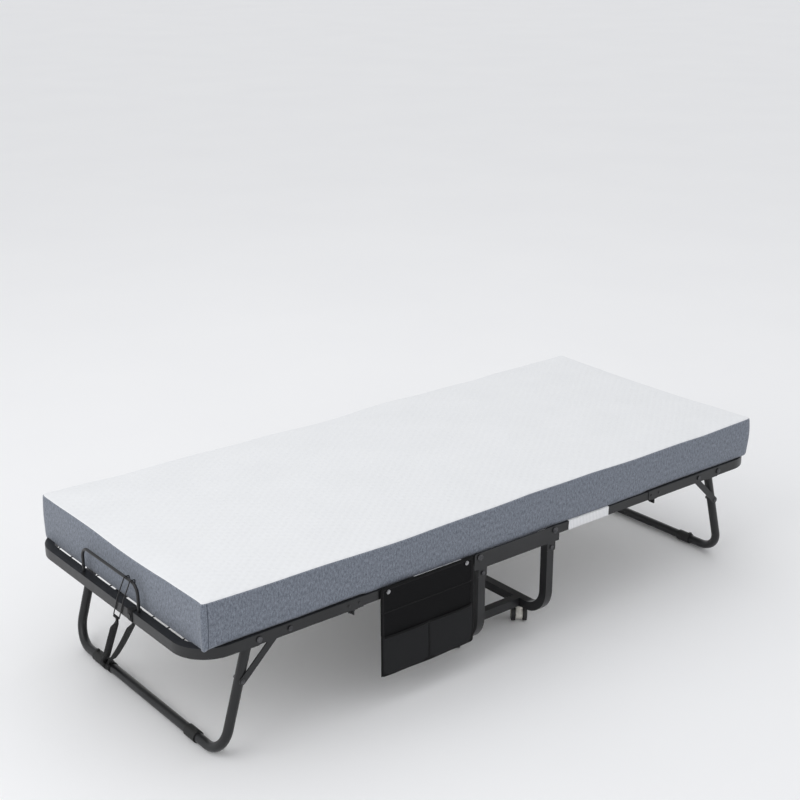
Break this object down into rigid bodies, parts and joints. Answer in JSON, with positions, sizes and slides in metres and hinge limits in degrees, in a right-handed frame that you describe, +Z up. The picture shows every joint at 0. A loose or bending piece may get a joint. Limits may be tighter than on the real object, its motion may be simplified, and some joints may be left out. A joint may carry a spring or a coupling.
{
  "type": "rollaway bed",
  "caption": "Folding guest bed: two hinged deck halves with a thick mattress, folding legs and a centre carriage on swivel casters.",
  "frame": {"origin": "on the floor under the centre of the open bed", "axes": "+X along the bed from head to foot, +Y across it away from the organizer side, +Z up"},
  "size_m": [2.0007, 0.8395, 0.456],
  "materials": {
    "frame_coat": "charcoal powder coat",
    "wire_coat": "black coated wire",
    "bolt_coat": "black plated",
    "cap_plastic": "black plastic",
    "foot_rubber": "black rubber",
    "tyre_rubber": "black tyre",
    "caster_plastic": "cream plastic",
    "stem_steel": "zinc plated",
    "mattress_fabric": "white quilted top, heathered blue-grey sides",
    "band_elastic": "white elastic",
    "organizer_fabric": "black woven",
    "snap_metal": "polished",
    "strap_fabric": "black webbing"
  },
  "bodies": {
    "carriage": {"carriage_hoop_head": "frame_coat", "carriage_hoop_foot": "frame_coat", "carriage_floor_bars": "frame_coat", "side_plate_near": "frame_coat", "side_plate_far": "frame_coat", "centre_deck_frame": "frame_coat", "centre_deck_wires": "wire_coat", "fold_pivot_bolts": "bolt_coat", "side_plate_screws": "bolt_coat", "caster_stems": "stem_steel", "mattress_centre": "mattress_fabric"},
    "head_half": {"head_outer_frame": "frame_coat", "head_side_rails": "frame_coat", "head_rail_caps": "cap_plastic", "head_crossbars": "frame_coat", "head_spine_bars": "frame_coat", "head_wire_grid": "wire_coat", "head_splice_tabs": "bolt_coat", "head_leg_brackets": "frame_coat", "head_leg_pivot_bolts": "bolt_coat", "head_mattress_hoop": "frame_coat", "head_mattress": "mattress_fabric", "head_retaining_bands": "band_elastic", "organizer_hem": "organizer_fabric", "organizer_snaps": "snap_metal", "strap_webbing": "strap_fabric", "strap_hardware": "snap_metal"},
    "head_leg": {"head_leg": "frame_coat", "head_foot_sleeves": "foot_rubber", "head_brace_bolts": "bolt_coat"},
    "head_braces": {"head_leg_braces": "frame_coat"},
    "foot_half": {"foot_outer_frame": "frame_coat", "foot_side_rails": "frame_coat", "foot_rail_caps": "cap_plastic", "foot_crossbars": "frame_coat", "foot_spine_bars": "frame_coat", "foot_wire_grid": "wire_coat", "foot_splice_tabs": "bolt_coat", "foot_leg_brackets": "frame_coat", "foot_leg_pivot_bolts": "bolt_coat", "foot_mattress_hoop": "frame_coat", "foot_mattress": "mattress_fabric", "foot_retaining_bands": "band_elastic"},
    "foot_leg": {"foot_leg": "frame_coat", "foot_foot_sleeves": "foot_rubber", "foot_brace_bolts": "bolt_coat"},
    "foot_braces": {"foot_leg_braces": "frame_coat"},
    "organizer": {"organizer_pockets": "organizer_fabric"},
    "caster_head_near": {"caster_housing_head_near": "caster_plastic"},
    "caster_wheels_head_near": {"caster_tyres_head_near": "tyre_rubber", "caster_hubs_head_near": "caster_plastic"},
    "caster_head_far": {"caster_housing_head_far": "caster_plastic"},
    "caster_wheels_head_far": {"caster_tyres_head_far": "tyre_rubber", "caster_hubs_head_far": "caster_plastic"},
    "caster_foot_near": {"caster_housing_foot_near": "caster_plastic"},
    "caster_wheels_foot_near": {"caster_tyres_foot_near": "tyre_rubber", "caster_hubs_foot_near": "caster_plastic"},
    "caster_foot_far": {"caster_housing_foot_far": "caster_plastic"},
    "caster_wheels_foot_far": {"caster_tyres_foot_far": "tyre_rubber", "caster_hubs_foot_far": "caster_plastic"}
  },
  "joints": [
    {"name": "head_fold", "type": "hinge", "parent": "carriage", "child": "head_half", "pos_m": [-0.136, 0, 0.322], "axis": [0, 1, 0], "range_deg": [0, 90], "deforming": ["mattress_centre"]},
    {"name": "head_leg_fold", "type": "hinge", "parent": "head_half", "child": "head_leg", "pos_m": [-0.82, 0, 0.318], "axis": [0, -1, 0], "range_deg": [0, 98], "deforming": ["strap_webbing"]},
    {"name": "head_brace_fold", "type": "hinge", "parent": "head_leg", "child": "head_braces", "pos_m": [-0.85225, 0, 0.20553], "axis": [0, -1, 0], "range_deg": [-149, 0]},
    {"name": "foot_fold", "type": "hinge", "parent": "carriage", "child": "foot_half", "pos_m": [0.136, 0, 0.322], "axis": [0, -1, 0], "range_deg": [0, 90]},
    {"name": "foot_leg_fold", "type": "hinge", "parent": "foot_half", "child": "foot_leg", "pos_m": [0.82, 0, 0.318], "axis": [0, 1, 0], "range_deg": [0, 98]},
    {"name": "foot_brace_fold", "type": "hinge", "parent": "foot_leg", "child": "foot_braces", "pos_m": [0.85225, 0, 0.20553], "axis": [0, 1, 0], "range_deg": [-149, 0]},
    {"name": "organizer_swing", "type": "hinge", "parent": "head_half", "child": "organizer", "pos_m": [-0.312, -0.4136, 0.3035], "axis": [-1, 0, 0], "range_deg": [0, 80]},
    {"name": "caster_swivel_head_near", "type": "hinge", "parent": "carriage", "child": "caster_head_near", "pos_m": [-0.125, -0.295, 0.053], "axis": [0, 0, 1], "continuous": true},
    {"name": "caster_roll_head_near", "type": "hinge", "parent": "caster_head_near", "child": "caster_wheels_head_near", "pos_m": [-0.11745, -0.28567, 0.025], "axis": [0.7771, -0.6293, 0], "continuous": true},
    {"name": "caster_swivel_head_far", "type": "hinge", "parent": "carriage", "child": "caster_head_far", "pos_m": [-0.125, 0.295, 0.053], "axis": [0, 0, 1], "continuous": true},
    {"name": "caster_roll_head_far", "type": "hinge", "parent": "caster_head_far", "child": "caster_wheels_head_far", "pos_m": [-0.11745, 0.30433, 0.025], "axis": [0.7771, -0.6293, 0], "continuous": true},
    {"name": "caster_swivel_foot_near", "type": "hinge", "parent": "carriage", "child": "caster_foot_near", "pos_m": [0.125, -0.295, 0.053], "axis": [0, 0, 1], "continuous": true},
    {"name": "caster_roll_foot_near", "type": "hinge", "parent": "caster_foot_near", "child": "caster_wheels_foot_near", "pos_m": [0.13255, -0.28567, 0.025], "axis": [0.7771, -0.6293, 0], "continuous": true},
    {"name": "caster_swivel_foot_far", "type": "hinge", "parent": "carriage", "child": "caster_foot_far", "pos_m": [0.125, 0.295, 0.053], "axis": [0, 0, 1], "continuous": true},
    {"name": "caster_roll_foot_far", "type": "hinge", "parent": "caster_foot_far", "child": "caster_wheels_foot_far", "pos_m": [0.13255, 0.30433, 0.025], "axis": [0.7771, -0.6293, 0], "continuous": true}
  ],
  "couplings": [
    {"joint": "head_brace_fold", "follows": "head_leg_fold", "ratio": -1.5},
    {"joint": "foot_brace_fold", "follows": "foot_leg_fold", "ratio": -1.5}
  ]
}
